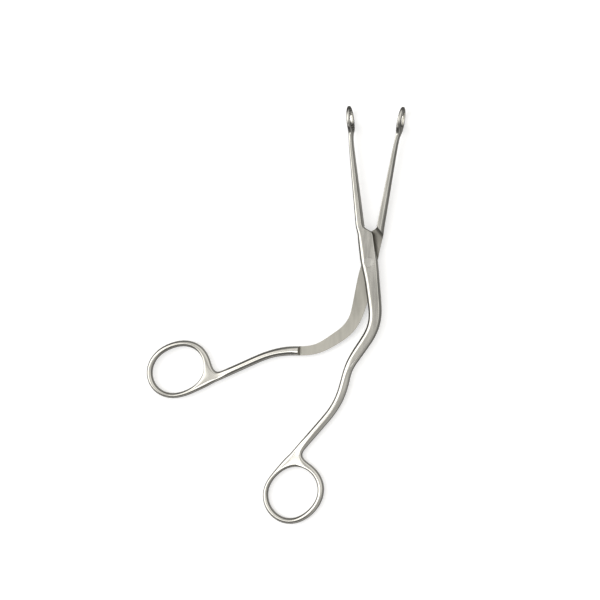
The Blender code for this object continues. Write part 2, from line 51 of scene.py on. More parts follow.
# Joint
JOINT_THICKNESS = 6.2      # both halves together
JOINT_WIDTH = 9.4          # of each half, across the rivet
JOINT_OUTER_ROUNDING = 3.4
JOINT_INNER_ROUNDING = 0.8
LAP_GAP = 0.2              # between the two lap faces
LAP_END_LEAN = 0.9         # of a recess's end walls, from the lap face out to the joint's face
LAP_STOPS = 8              # straight pieces of a recess's sides, which lie off the arm
OPEN_ANGLE = 19.4          # between the jaws as they lie
RIVET_RADIUS = 2.2
RIVET_HEAD_RADIUS = 2.9
RIVET_HEAD_HEIGHT = 1.1
RIVET_GAP = 0.08           # running clearance round the rivet
RIVET_SIDES = 40
BORE_OVERRUN = 1.0         # by which the bore's cutter passes each face
LAP_OVERRUN = 3            # half thicknesses by which a recess's cutter reaches out from the lap
MERGE_BELOW = 0.01         # apart, two points on the rivet's axis become one

# Crotch: the corner and the slope at which one half stops against the other's shoulder
CROTCH_CORNER_X = 4.6
CROTCH_CORNER_Y = 16.4
CROTCH_SLOPE = 38.7
CROTCH_RADIUS = 2.4
CROTCH_ROWS = (0.2, 0.4, 0.62, 0.83, 1.0)  # cage rows, as shares of the way down the crotch
JOINT_ROWS = (1.3, 6.5, 12.0)              # and below its corner

# Jaws, from the crotch to the tip
JAW_REACH = 92.0           # from the rivet's axis to the end of the tip
JAW_GAP = 0.4              # from the closing line to a jaw's inner edge, below the tip
JAW_THICKNESS_NECK = 4.2
JAW_OUTER_ROUNDING = 2.1
JAW_INNER_ROUNDING = 0.8
JAW_ROWS = 7               # even cage rows between the crotch and the neck
JAW_ROW_AT_CROTCH = 2.0    # one more row, above the crotch's top
JAW_ROWS_FROM = 5.0        # above the crotch's top
NECK_ROW = 1.5             # from the neck down to the jaw's first row
SET_FROM = 1.0             # above the crotch's top, where the jaw has its whole set
SET_UNTIL = 4.0            # below the neck, where the set starts to fade
SET_END = 3.0              # above the neck, where it has faded
FORM_FROM = 8.0            # below the crotch's corner, where the joint's section starts to change
FORM_END = 3.0             # above the crotch's top, where it has become the jaw's

# Tips: an oval loop that stands across the plane of the forceps
GRIP_GAP = 0.3             # between the two serrated faces when the jaws are closed
TIP_LENGTH = 16.6
TIP_HEIGHT = 10.0
TIP_THICKNESS_FOOT = 2.9
TIP_THICKNESS_END = 1.8
TIP_FOOT_ROWS = (0.33, 0.7)                # cage rows, as shares of the way down the foot
WINDOW_LENGTH = 9.0
WINDOW_HEIGHT = 5.6
WINDOW_END_RIM = 3.0       # from the window to the end of the tip
LOOP_ROWS = 12
SERRATION_PITCH = 1.0
SERRATION_DEPTH = 0.35
SERRATION_WIDTH = 0.72
SERRATION_LIFT = 0.06      # of the cutter's middle from the gripping face
SERRATION_FOOT = 1.6       # from the tip's foot to the first groove
SERRATION_END = 0.8        # from the last groove to the tip's end, at least
GRIP_CREASE = 0.75         # along the serrated face's outer edge
WINDOW_CREASE = 0.3        # along its edge round the window
# A point across the tip's section: how far out from the window, and how deep from the serrations
TIP_SECTION = ((0.0, 0.0), (0.88, 0.0), (1.02, 0.2), (1.03, 0.5), (0.96, 0.85), (0.6, 1.0), (0.0, 1.0))
UPPER_CHAIN = (9, 10, 11, 0, 1, 2, 3)      # of a cage row, from the inner side over the top
LOWER_CHAIN = (9, 8, 7, 6, 5, 4, 3)

# Arms
ARM_INNER_ROUNDING = 1.5   # reached at the lap's middle
ROUNDED_SHARE = 0.45       # of a width, the most that one rounding takes
SHANK_THICKNESS = 4.5
SHANK_BLEND = 13.0         # over which the flat lapped arm turns into the round shank
ROW_STEP = 5.6             # between two cage rows

# Finger rings
RING_BAND = 3.5            # radial width of the ring
RING_THICKNESS = 4.1
RING_ROWS = 15
WEB_THICKNESS = 3.7
WEB_EDGE = 1.5             # rounding along the web's edges
WEB_ROWS = 3.5             # ring rows over which the web's flat section turns round, at each end
WEB_CUT_BACK = 4.0         # from the web's corner back along the shank to its middle row
WEB_LEAD = 20.0            # by which the ring's first and last rows lean along its rim
WEB_LAG = 25.0
WEB_INNER_STEP = 9.0       # round the rim, from the web's corner to its middle row
WEB_SHARES = (0.45, 0.85, 1.04)            # places of cage points from the web's middle to an edge
FILLET_ANGLE = 24.0        # round the rim, from the web's corner to the end of its fillet
FILLET_POWER = 4           # the higher, the later the fillet leaves the rim
RING_FULLNESS = 0.017      # by which the hole is fuller than an oval, at its four diagonals

# The two halves. Each bend is a straight, a radius and a turn; turns to the left are positive
# for someone who looks down at the arm from the rivet. Widths are (distance from rivet, width).
FRONT = {
    "side": -1,                    # of the closing line on which the jaw lies
    "layer": 1,                    # it keeps the upper half of the joint
    "joint_outer": 5.8,            # from the rivet to the outer edge, above the rivet
    "jaw_width": 4.75,             # at the crotch
    "neck_width": 2.55,            # below the tip
    "jaw_set": 0.75,               # by which the closed jaw stands to the left of the closing line
    "heading": 1.2,                # of the arm as it leaves the rivet
    "bends": ((27.1, 24.6, 41.9), (14.6, 29.3, -22.3), (4.5, 44.1, 28.6)),
    "last_straight": 47.6,         # up to a point abreast of the ring's centre
    "widths": ((18.0, 8.6), (40.0, 7.2), (58.0, 6.6), (67.0, 5.2), (78.0, 5.5), (92.0, 4.9)),
    "shoulder_gap": 1.3,           # between its shoulder and the half that closes against it
    "lap_end": 73.0,               # where the arm gets its whole thickness back
    "round_from": 61.5,            # where the flat arm starts to turn into the round shank
    "web_corner": 19.9,            # from the ring's centre to the web's inner corner, along the shank
    "ring_offset": 13.9,           # from the shank's centre line to the ring's centre
    "ring_tilt": -7.7,             # of the ring's long axis from the shank, to the outer side
    "hole_length": 32.5,
    "hole_width": 27.6,
}
REAR = {
    "side": 1,
    "layer": -1,
    "joint_outer": 4.1,
    "jaw_width": 4.3,
    "neck_width": 2.3,
    "jaw_set": 0.65,
    "heading": 3.1,
    "bends": ((29.9, 22.6, 43.1), (10.2, 27.5, 34.3), (2.0, 54.9, -25.8)),
    "last_straight": 49.5,
    "widths": ((8.0, 10.6), (22.0, 8.8), (34.0, 7.3), (52.0, 6.7), (66.0, 5.5), (82.0, 5.4), (92.0, 4.6)),
    "shoulder_gap": 0.35,
    "lap_end": 74.5,
    "round_from": 72.5,
    "web_corner": 21.3,
    "ring_offset": 13.6,
    "ring_tilt": 1.4,
    "hole_length": 34.6,
    "hole_width": 26.0,
}

# Subdivision pulls a cage of 12 or 8 points inside its circle; these put it back on it
ROUND_12 = 3 / (2 + math.cos(math.radians(30)))
ROUND_8 = 3 / (2 + math.cos(math.radians(45)))
CAGE_POINTS = 12           # in each row across a half
CORNER = 0.45              # of a rounding, where its cage point lies
BULGE = CORNER / 2         # of a rounding, by which the side's cage point stands out

# Form of the halves in the scene
FINE_LEVEL = 3                     # subdivisions of the forged form
SMOOTH_BELOW = 32                  # degrees between two faces that shade as one surface
EDGE_ROUNDING = 0.12               # of the cut edges, in the shading only
EDGE_SAMPLES = 6                   # of the surface near a point, from which its rounding is found

# Steels: roughness varies by its spread with the streaks, and grain is the strength of a fine bump
SATIN_STEEL = {"colour": (0.53, 0.518, 0.478), "roughness": 0.12, "spread": 0.03, "grain": 0.12}
GROUND_STEEL = {"colour": (0.345, 0.334, 0.298), "roughness": 0.40, "spread": 0.05, "grain": 0.5}
RIVET_STEEL = {"colour": (0.51, 0.50, 0.467), "roughness": 0.20, "spread": 0.04, "grain": 0.2}
GLANCING_TINT = (0.35, 0.35, 0.35, 1.0)    # of the steel where it is seen along its surface
GRAIN_STRETCH = (1.0, 0.14, 1.0)   # grain and streaks are longer along Y
GRAIN_SCALE = 3200.0
GRAIN_DETAIL = 3.0
GRAIN_DEPTH = 0.02
STREAK_SCALE = 420.0
STREAK_DETAIL = 5.0
STREAK_CONTRAST = (0.3, 0.7)       # streak values between which the roughness varies
STREAK_TONES = (0.6, 1.4)          # of the darkest and the lightest streak
STREAK_MEAN = 0.5                  # value to which the streaks fade
STREAKS_FROM = -30.0               # place along Y above which the streaks have their whole strength
STREAKS_FADE = 30.0
STREAKS_LEAST = 0.2

# Painted light and shade: tones are factors on a steel's colour, on straight lines between points of
# (share, tone).
# A normal's part along the shade axis is near 1 on a flat and near 0 on an upright side. The edge curve
# paints dark shade bands on sloped edges and a faint painted highlight next to the flat. The axis leans to
# +X and -Y, so slopes that face -X and +Y darken sooner.
PAINTED_SHADE_AXIS = (0.15, -0.15, 0.98)
PAINTED_EDGE_SHADE = ((0.0, 1.0), (0.15, 0.85), (0.32, 0.4), (0.5, 0.2), (0.68, 0.35), (0.84, 1.05), (1.0, 1.0))
# Along Y, the rivet is at 0.5 and a jaw's reach from it at 1. The jaw curve paints shade on the tips' feet
# and ends, and a painted highlight across their windows.
PAINTED_TIP_LIGHT_AND_SHADE = ((0.0, 1.0), (0.9, 1.0), (0.92, 0.7), (0.935, 0.65),
             (0.948, 1.5), (0.97, 1.5), (0.98, 0.5), (1.0, 0.5))
# The lap curve paints shade across the rear lap around the rivet, beside the front half.
PAINTED_LAP_SHADE = ((0.0, 1.0), (0.3, 1.0), (0.45, 0.85), (0.5, 0.85), (0.53, 1.0), (1.0, 1.0))
PLAIN_TONES = ((0.0, 1.0), (1.0, 1.0))
# In height, the joint's back face is at 0, and 1 is as far above it as a tip is tall. The height curve
# paints shade on the tips' upper rims, the only parts above 0.64.
PAINTED_TIP_RIM_SHADE = ((0.0, 1.0), (0.64, 1.0), (0.72, 0.6), (1.0, 0.6))
# Painted shadow on a lap face, deepest at the shoulder: over the corner's reach, the shoulder is at 1
CORNER_SHADOW_REACH = 12.0
PAINTED_CORNER_SHADOW = ((0.0, 1.0), (0.5, 0.8), (0.84, 0.6), (0.9, 0.25), (1.0, 0.15))

# Floor: the forceps rest on it with their tips and the lower ring
FLOOR_LEVEL = -1.9                 # under the tips
FLOOR_RISE = 0.69                  # of the floor from the tips up to the lower ring
FLOOR_REACH = 4.0                  # metres
FLOOR_COLOUR = 0.7
FLOOR_LIFT = 0.45                  # of the white added where it is seen, also in gloss

# Lamp near the lower ring, in metres
SOFTBOX_SIZE = (0.3, 0.22)
SOFTBOX_PLACE = (-0.25, -0.28, 0.7)
SOFTBOX_RADIANCE = 2.2

# Sky: an even level with soft patches. A patch has an azimuth from +X, an elevation, the two angles
# from its middle between which it fades, and a strength. The camera looks down from 18 degrees right
# of the zenith, so a flat shows the sky 18 degrees left of it, and a bevel that leans 16 degrees to
# the left shows it 50 degrees left.
SKY_COLOUR = (1.0, 0.99, 0.97, 1.0)
SKY_LEVEL = 0.62
SKY_LEAST = 0.2                    # that the dark patches leave
KEY_LIGHT = (175, 40, 10, 36, 2.4)
RIGHT_FILL = (45, 45, 20, 60, 0.65)
FRONT_FLAG = (-115, 10, 25, 65, -0.55)
LEFT_FLAG = (150, 10, 15, 35, -0.5)
SKY_PATCHES = (KEY_LIGHT, RIGHT_FILL, FRONT_FLAG, LEFT_FLAG)

# Camera: from straight above the joint, swung to the right about the picture's upright
CAMERA_ROLL = 18.0
CAMERA_TURN = 2.22                 # of the picture's upright from +Y
CAMERA_DISTANCE = 1.5              # metres
CAMERA_DEPTH = 10.0                # metres, beyond which nothing is seen
VIEW_WIDTH = 348.0                 # width of the view at the joint
VIEW_CENTRE = (-40.8, -21.9)       # of the view from the rivet, right and up in the picture
SENSOR = 36.0


def smooth_step(low, high, value):
    """0 below low, 1 above high, and an even S between them."""
    share = min(max((value - low) / (high - low), 0.0), 1.0)
    return share * share * (3 - 2 * share)


def blend(first, second, share):
    """Value at a share of the way from the first to the second."""
    return first + (second - first) * share


def read_stations(stations, value):
    """The second number of a list of pairs, straight between the pairs' first numbers."""
    for (near, near_size), (far, far_size) in zip(stations, stations[1:]):
        if value <= far:
            return blend(near_size, far_size, max(value - near, 0.0) / (far - near))
    return stations[-1][1]


def along_arm(half, distance):
    """Centre and heading of an arm at a distance from the rivet. Heading 0 points to -Y."""
    place = Vector((0.0, 0.0))
    heading = math.radians(half["heading"])
    for straight, radius, turn in half["bends"] + ((half["last_straight"], 1.0, 0.0),):
        step = min(distance, straight)
        place -= step * Vector((math.sin(heading), math.cos(heading)))
        distance -= step
        swing = min(distance / radius, math.radians(abs(turn)))
        middle = heading + math.copysign(swing / 2, turn)
        place -= 2 * radius * math.sin(swing / 2) * Vector((math.sin(middle), math.cos(middle)))
        heading += math.copysign(swing, turn)
        distance -= swing * radius
    return place, heading


def outward(half, heading):
    """Unit vector across an arm, towards the half's outer side."""
    return half["side"] * Vector((math.cos(heading), -math.sin(heading)))


def arm_length(half):
    """From the rivet along the arm to a point abreast of the ring's centre."""
    bends = sum(straight + radius * math.radians(abs(turn)) for straight, radius, turn in half["bends"])
    return bends + half["last_straight"]


def arm_width(half, distance):
    """Width of an arm at a distance from the rivet, which starts at the joint's."""
    return read_stations(((0.0, JOINT_WIDTH),) + half["widths"], distance)


def cage_row(centre, out, outer, inner, half_height, outer_rounding, inner_rounding, roundness):
    """Twelve cage points of a section, clockwise from the top middle by way of the outer side.

    outer and inner are the distances from the centre to the two edges. At roundness 0 the
    section is flat with rounded edges, and at 1 it is an ellipse.
    """
    flat_outer = outer - outer_rounding
    flat_inner = inner_rounding - inner
    flat = (
        ((flat_outer + flat_inner) / 2, half_height),
        (flat_outer, half_height),
        (outer - CORNER * outer_rounding, half_height),
        (outer + BULGE * outer_rounding, 0.0),
        (CORNER * inner_rounding - inner, half_height),
        (flat_inner, half_height),
    )
    outline = [flat[0], flat[1], flat[2], flat[3]]
    outline += [(across, -height) for across, height in (flat[2], flat[1], flat[0], flat[5], flat[4])]
    outline += [(-inner - BULGE * inner_rounding, 0.0), flat[4], flat[5]]
    middle = (outer - inner) / 2
    reach = (outer + inner) / 2 * ROUND_12
    points = []
    for index, (across, height) in enumerate(outline):
        angle = math.radians(90 - 30 * index)
        across = blend(across, middle + reach * math.cos(angle), roundness)
        height = blend(height, half_height * ROUND_12 * math.sin(angle), roundness)
        place = centre + across * out
        points.append((place.x, place.y, height))
    return points


def inner_edge(y):
    """Reach of a half across the closing line, at a height above the rivet, before its set."""
    slope = math.radians(CROTCH_SLOPE)
    turn = math.radians(90) - slope
    meet = CROTCH_CORNER_Y + (CROTCH_CORNER_X + JAW_GAP) * math.tan(slope)
    tangent = CROTCH_RADIUS * math.tan(turn / 2)
    if y <= CROTCH_CORNER_Y:
        return CROTCH_CORNER_X
    if y <= meet - tangent * math.sin(slope):
        return CROTCH_CORNER_X - (y - CROTCH_CORNER_Y) / math.tan(slope)
    if y <= meet + tangent:
        rise = meet + tangent - y
        return CROTCH_RADIUS - JAW_GAP - math.sqrt(CROTCH_RADIUS ** 2 - rise ** 2)
    return -JAW_GAP


def crotch_top():
    """Height above the rivet at which the crotch's rounding meets the jaw."""
    slope = math.radians(CROTCH_SLOPE)
    meet = CROTCH_CORNER_Y + (CROTCH_CORNER_X + JAW_GAP) * math.tan(slope)
    return meet + CROTCH_RADIUS * math.tan((math.radians(90) - slope) / 2)


def jaw_row(half, y):
    """Cage row across a half at a height above the rivet, below the tip."""
    top = crotch_top()
    neck = JAW_REACH - TIP_LENGTH
    set_share = smooth_step(CROTCH_CORNER_Y, top + SET_FROM, y)
    set_share *= 1 - smooth_step(neck - SET_UNTIL, neck + SET_END, y)
    inner = inner_edge(y)
    along = (y - top) / (neck - top)
    width = blend(half["jaw_width"], half["neck_width"], min(max(along, 0.0), 1.0))
    jaw_share = smooth_step(CROTCH_CORNER_Y - FORM_FROM, top + FORM_END, y)
    outer = blend(half["joint_outer"], width + JAW_GAP, jaw_share)
    half_height = blend(JOINT_THICKNESS, JAW_THICKNESS_NECK, min(max(along, 0.0), 1.0)) / 2
    jaw_rounding = min(JAW_OUTER_ROUNDING, ROUNDED_SHARE * width)
    return cage_row(
        Vector((-half["jaw_set"] * set_share, y)), Vector((half["side"], 0.0)), outer, inner, half_height,
        blend(JOINT_OUTER_ROUNDING, jaw_rounding, jaw_share),
        blend(JOINT_INNER_ROUNDING, JAW_INNER_ROUNDING, jaw_share), 0.0)


def tip_outline(angle):
    """Height above the rivet and half height of the tip's oval, at an angle from its end."""
    middle = JAW_REACH - TIP_LENGTH / 2
    return middle + TIP_LENGTH / 2 * math.cos(angle), TIP_HEIGHT / 2 * math.sin(angle)


def window_foot():
    """Height above the rivet at which the tip's window starts."""
    return JAW_REACH - WINDOW_END_RIM - WINDOW_LENGTH


def tip_point(half, depth, y, z):
    """A point of the tip; depth 0 is the serrated face and depth 1 the back."""
    thickness = blend(TIP_THICKNESS_END, TIP_THICKNESS_FOOT, (JAW_REACH - y) / TIP_LENGTH)
    return (half["side"] * (GRIP_GAP / 2 + depth * thickness), y, z)


def tip_row(half, y):
    """Cage row across the solid foot of the tip, below its window."""
    share = (y - (JAW_REACH - TIP_LENGTH / 2)) / (TIP_LENGTH / 2)
    oval = TIP_HEIGHT / 2 * math.sqrt(max(1 - share * share, 0.0))
    half_height = max(oval, JAW_THICKNESS_NECK / 2)
    points = [None] * CAGE_POINTS
    for chain, sign in ((UPPER_CHAIN, 1), (LOWER_CHAIN, -1)):
        for index, (out, depth) in zip(chain, TIP_SECTION):
            points[index] = tip_point(half, depth, y, sign * out * half_height)
    return points


def loop_row(half, index):
    """Seven cage points of the loop round the window, counted from its foot over the top."""
    turn = 1 - 2 * index / LOOP_ROWS
    window_angle = math.pi * turn
    foot = window_foot()
    middle = JAW_REACH - TIP_LENGTH / 2
    foot_angle = math.acos((foot - middle) / (TIP_LENGTH / 2))
    outer_y, outer_z = tip_outline(foot_angle * turn)
    inner_y = foot + WINDOW_LENGTH / 2 * (1 + math.cos(window_angle))
    inner_z = WINDOW_HEIGHT / 2 * math.sin(window_angle)
    return [tip_point(half, depth, blend(inner_y, outer_y, out), blend(inner_z, outer_z, out))
            for out, depth in TIP_SECTION]


def arm_row(half, distance, last):
    """Cage row across an arm; the last one passes through the web's inner corner."""
    centre, heading = along_arm(half, distance)
    width = arm_width(half, distance)
    shank_share = smooth_step(half["round_from"], half["round_from"] + SHANK_BLEND, distance)
    web_share = smooth_step(last - 2 * ROW_STEP, last, distance)
    thickness = blend(JOINT_THICKNESS, SHANK_THICKNESS,
                      smooth_step(JOINT_WIDTH, half["round_from"] + SHANK_BLEND, distance))
    thickness = blend(thickness, WEB_THICKNESS, web_share)
    inner_share = smooth_step(0, half["round_from"] / 2, distance)
    arm_inner = blend(JOINT_INNER_ROUNDING, ARM_INNER_ROUNDING, inner_share)
    outer_rounding = min(blend(JOINT_OUTER_ROUNDING, WEB_EDGE, shank_share), ROUNDED_SHARE * width)
    inner_rounding = min(blend(arm_inner, WEB_EDGE, shank_share), ROUNDED_SHARE * width)
    outer = blend(half["joint_outer"], width / 2, smooth_step(0, JOINT_WIDTH, distance))
    return cage_row(centre, outward(half, heading), outer, width / 2, thickness / 2,
                    outer_rounding, inner_rounding, shank_share * (1 - web_share))


class Ring:
    """The finger ring in its own plane: angles run from the shank to the half's outer side."""

    def __init__(self, half):
        self.half = half
        end, heading = along_arm(half, arm_length(half))
        self.across = outward(half, heading)
        self.along = Vector((math.sin(heading), math.cos(heading)))
        self.centre = end - half["ring_offset"] * self.across
        self.half_width = arm_width(half, arm_length(half)) / 2

    def place(self, along, across):
        return self.centre + along * self.along + across * self.across

    def hole(self, angle):
        """Radius of the finger hole."""
        turned = angle - math.radians(self.half["ring_tilt"])
        oval = 1 / math.hypot(2 * math.cos(turned) / self.half["hole_length"],
                              2 * math.sin(turned) / self.half["hole_width"])
        return oval * (1 - RING_FULLNESS * math.cos(4 * turned))

    def rim(self, angle):
        """Radius of the ring's outer edge, which runs into both edges of the shank."""
        tilt = math.radians(self.half["ring_tilt"])
        hole_reach = math.hypot(self.half["hole_length"] / 2 * math.sin(tilt),
                                self.half["hole_width"] / 2 * math.cos(tilt))
        outer_line = self.half["ring_offset"] + self.half_width
        tangent_band = min(outer_line - hole_reach, RING_BAND)
        band = blend(RING_BAND, tangent_band, max(math.sin(angle), 0.0) ** 2)
        radius = self.hole(angle) + band
        corner_across = self.half["ring_offset"] - self.half_width
        corner_angle = math.atan2(corner_across, self.half["web_corner"])
        if corner_angle < angle < math.pi / 2:
            return max(radius, outer_line / math.sin(angle))
        fillet_start = corner_angle - math.radians(FILLET_ANGLE)
        if fillet_start < angle <= corner_angle:
            share = (angle - fillet_start) / (corner_angle - fillet_start)
            return blend(radius, math.hypot(corner_across, self.half["web_corner"]), share ** FILLET_POWER)
        return radius

    def at(self, radius, angle):
        """Cage point; the subdivision then draws it in to the radius."""
        reach = radius * 3 / (2 + math.cos(2 * math.pi / RING_ROWS))
        return self.place(reach * math.cos(angle), reach * math.sin(angle))


def flat_points(inner, outer, half_height):
    """Eight cage points of a flat section with rounded edges, from the outer edge over the top."""
    out = (outer - inner).normalized()
    middle = (inner + outer) / 2
    across = [(outer + BULGE * WEB_EDGE * out, 0), (outer - CORNER * WEB_EDGE * out, 1), (middle, 1),
              (inner + CORNER * WEB_EDGE * out, 1), (inner - BULGE * WEB_EDGE * out, 0)]
    across += [(place, -1) for place, _ in across[3:0:-1]]
    return [(place, sign * half_height) for place, sign in across]


def round_points(inner, outer, half_height):
    """Eight cage points of an oval section, in the same order."""
    middle = (inner + outer) / 2
    reach = (outer - inner) / 2 * ROUND_8
    return [(middle + math.cos(math.radians(45 * index)) * reach,
             half_height * ROUND_8 * math.sin(math.radians(45 * index))) for index in range(8)]


def ring_row(ring, index):
    """Eight cage points of the ring, counted from the web by way of the half's outer side."""
    shank_angle = math.atan2(ring.half["ring_offset"], ring.half["web_corner"])
    angle = shank_angle + 2 * math.pi * index / RING_ROWS
    lead = math.radians(WEB_LEAD) * max(1 - index / WEB_ROWS, 0.0)
    lag = math.radians(WEB_LAG) * max(1 - (RING_ROWS - index) / WEB_ROWS, 0.0)
    rim_angle = (angle + lead - lag + math.pi) % (2 * math.pi) - math.pi
    inner = ring.at(ring.hole(angle), angle)
    outer = ring.at(ring.rim(rim_angle), rim_angle)
    roundness = smooth_step(0, WEB_ROWS, min(index, RING_ROWS - index))
    flat = flat_points(inner, outer, WEB_THICKNESS / 2)
    oval = round_points(inner, outer, RING_THICKNESS / 2)
    points = []
    for (flat_place, flat_height), (oval_place, oval_height) in zip(flat, oval):
        place = flat_place.lerp(oval_place, roundness)
        points.append((place.x, place.y, blend(flat_height, oval_height, roundness)))
    return points


def web_row(ring):
    """Cage row halfway between the arm's last row and the ring's hole."""
    corner = ring.place(ring.half["web_corner"], ring.half["ring_offset"])
    shank_angle = math.atan2(ring.half["ring_offset"], ring.half["web_corner"])
    middle = (corner + ring.at(ring.hole(shank_angle), shank_angle)) / 2
    outer_line = ring.half["ring_offset"] + ring.half_width
    outer = ring.place(ring.half["web_corner"] - WEB_CUT_BACK, outer_line)
    corner_angle = math.atan2(ring.half["ring_offset"] - ring.half_width, ring.half["web_corner"])
    inner_angle = corner_angle - math.radians(WEB_INNER_STEP)
    inner = ring.at(ring.rim(inner_angle), inner_angle)
    height = WEB_THICKNESS / 2
    near, far, edge = WEB_SHARES
    points = []
    for place, share, level in (
            (middle, 0.0, 1), (outer, near, 1), (outer, far, 1), (outer, edge, 0),
            (outer, far, -1), (outer, near, -1), (middle, 0.0, -1), (inner, near, -1),
            (inner, far, -1), (inner, edge, 0), (inner, far, 1), (inner, near, 1)):
        spot = middle.lerp(place, share)
        points.append((spot.x, spot.y, level * height))
    return points


class Cage:
    """Quads between rows of points, with the creases that keep an edge crisp."""

    def __init__(self):
        self.points = []
        self.faces = []
        self.creases = []

    def add(self, points):
        first = len(self.points)
        self.points += points
        return list(range(first, len(self.points)))

    def bridge(self, near, far):
        for index in range(len(near)):
            following = (index + 1) % len(near)
            self.faces.append((near[index], near[following], far[following], far[index]))

    def mesh(self, name, lift):
        """The cage as a mesh in metres, raised by lift millimetres."""
        cage = bmesh.new()
        corners = [cage.verts.new(UNIT * (Vector(point) + Vector((0, 0, lift)))) for point in self.points]
        for face in self.faces:
            cage.faces.new([corners[index] for index in face])
        bmesh.ops.recalc_face_normals(cage, faces=cage.faces)
        sharpness = cage.edges.layers.float.new("crease_edge")
        for chain, amount in self.creases:
            members = {corners[index] for index in chain}
            for edge in cage.edges:
                if edge.verts[0] in members and edge.verts[1] in members:
                    edge[sharpness] = amount
        mesh = bpy.data.meshes.new(name)
        cage.to_mesh(mesh)
        cage.free()
        mesh.shade_smooth()
        return mesh


def add_tip(cage, half):
    """Adds the tip's loop, whose two ends share the window's foot, and returns its solid rows."""
    foot_row = cage.add(tip_row(half, window_foot()))
    loop = [cage.add(loop_row(half, index)) for index in range(1, LOOP_ROWS)]
    loop.insert(0, [foot_row[index] for index in UPPER_CHAIN])
    loop.append([foot_row[index] for index in LOWER_CHAIN])
    for near, far in zip(loop, loop[1:]):
        cage.bridge(near, far)
    neck = JAW_REACH - TIP_LENGTH
    heights = [blend(window_foot(), neck, share) for share in TIP_FOOT_ROWS]
    solid_rows = [foot_row] + [cage.add(tip_row(half, height)) for height in heights]
    grip_rim = [row[1] for row in loop]
    grip_rim += [row[chain[1]] for row in solid_rows for chain in (LOWER_CHAIN, UPPER_CHAIN)]
    cage.creases.append((grip_rim, GRIP_CREASE))
    cage.creases.append(([row[0] for row in loop], WINDOW_CREASE))
    return solid_rows


def jaw_heights():
    """Heights above the rivet of the cage rows from the neck down to the joint."""
    start = JAW_REACH - TIP_LENGTH - NECK_ROW
    top = crotch_top()
    heights = [blend(start, top + JAW_ROWS_FROM, index / JAW_ROWS) for index in range(JAW_ROWS + 1)]
    heights += [top + JAW_ROW_AT_CROTCH, top]
    heights += [blend(top, CROTCH_CORNER_Y, share) for share in CROTCH_ROWS]
    heights += [CROTCH_CORNER_Y - down for down in JOINT_ROWS]
    return heights


def add_ring(cage, half):
    """Adds the finger ring, a closed chain, and returns the web's two rows that end the arm."""
    ring = Ring(half)
    web = cage.add(web_row(ring))
    first = ring_row(ring, 0)
    final = ring_row(ring, RING_ROWS)
    hole_top, hole_side, hole_foot = cage.add(first[3:6])
    outer_side = cage.add([first[2], first[1], first[0], first[7], first[6]])
    inner_side = cage.add([final[6], final[7], final[0], final[1], final[2]])
    chain = [[outer_side[2], outer_side[1], outer_side[0], hole_top, hole_side, hole_foot,
              outer_side[4], outer_side[3]]]
    chain += [cage.add(ring_row(ring, index)) for index in range(1, RING_ROWS)]
    chain.append([inner_side[2], inner_side[3], inner_side[4], hole_top, hole_side, hole_foot,
                  inner_side[0], inner_side[1]])
    for near, far in zip(chain, chain[1:]):
        cage.bridge(near, far)
    return [web, [hole_top] + outer_side + [hole_foot] + inner_side]


def half_cage(half):
    """The forging's cage, from the tip's loop down the jaw and the arm to the finger ring."""
    cage = Cage()
    rows = add_tip(cage, half)
    rows += [cage.add(jaw_row(half, height)) for height in jaw_heights()]
    last = arm_length(half) - half["web_corner"]
    count = round(last / ROW_STEP)
    rows += [cage.add(arm_row(half, last * index / count, last)) for index in range(count + 1)]
    rows += add_ring(cage, half)
    for near, far in zip(rows, rows[1:]):
        cage.bridge(near, far)
    return cage


def turned_profile(name, profile):
    """Object turned about the Z axis from (radius, height) points that run down its outer side."""
    mesh = bpy.data.meshes.new(name)
    corners = [(radius * UNIT, 0.0, height * UNIT) for radius, height in profile]
    mesh.from_pydata(corners, [(index, index + 1) for index in range(len(corners) - 1)], [])
    turned = bpy.data.objects.new(name, mesh)
    screw = turned.modifiers.new("turn", "SCREW")
    screw.steps = RIVET_SIDES
    screw.render_steps = RIVET_SIDES
    screw.use_merge_vertices = True
    screw.merge_threshold = MERGE_BELOW * UNIT
    screw.use_smooth_shade = False
    return turned


def rivet_profile(gap, overrun):
    """Rivet with a cone-backed head flush with each face, or the bore that it runs in."""
    head = RIVET_HEAD_RADIUS + gap
    shaft = RIVET_RADIUS + gap
    top = JOINT_THICKNESS
    middle = [(head, top), (shaft, top - RIVET_HEAD_HEIGHT), (shaft, RIVET_HEAD_HEIGHT), (head, 0.0)]
    if overrun:
        middle = [(head, top + overrun)] + middle + [(head, -overrun)]
    return [(0.0, top + overrun)] + middle + [(0.0, -overrun)]


def prism(name, lower, upper, low, high):
    """Solid between two plan outlines at two heights."""
    count = len(lower)
    points = [(x * UNIT, y * UNIT, low * UNIT) for x, y in lower]
    points += [(x * UNIT, y * UNIT, high * UNIT) for x, y in upper]
    faces = [tuple(range(count)), tuple(range(count, 2 * count))]
    for near in range(count):
        far = (near + 1) % count
        faces.append((near, far, count + far, count + near))
    mesh = bpy.data.meshes.new(name)
    mesh.from_pydata(points, [], faces)
    solid = bmesh.new()
    solid.from_mesh(mesh)
    bmesh.ops.recalc_face_normals(solid, faces=solid.faces)
    solid.to_mesh(mesh)
    solid.free()
    return bpy.data.objects.new(name, mesh)


def lap_outline(half, lean):
    """Plan of the lap recess, with both end walls moved out by a lean."""
    reach = JOINT_WIDTH
    slope = math.tan(math.radians(CROTCH_SLOPE))
    clearance = (half["shoulder_gap"] + lean) / math.cos(math.radians(CROTCH_SLOPE))
    crest = CROTCH_CORNER_Y + slope * CROTCH_CORNER_X + clearance
    outline = [(-half["side"] * reach, crest + slope * reach),
               (half["side"] * reach, crest - slope * reach)]
    far_side = []
    for index in range(LAP_STOPS + 1):
        centre, heading = along_arm(half, (half["lap_end"] + lean) * index / LAP_STOPS)
        out = outward(half, heading)
        outline.append(tuple(centre + reach * out))
        far_side.append(tuple(centre - reach * out))
    return outline + far_side[::-1]


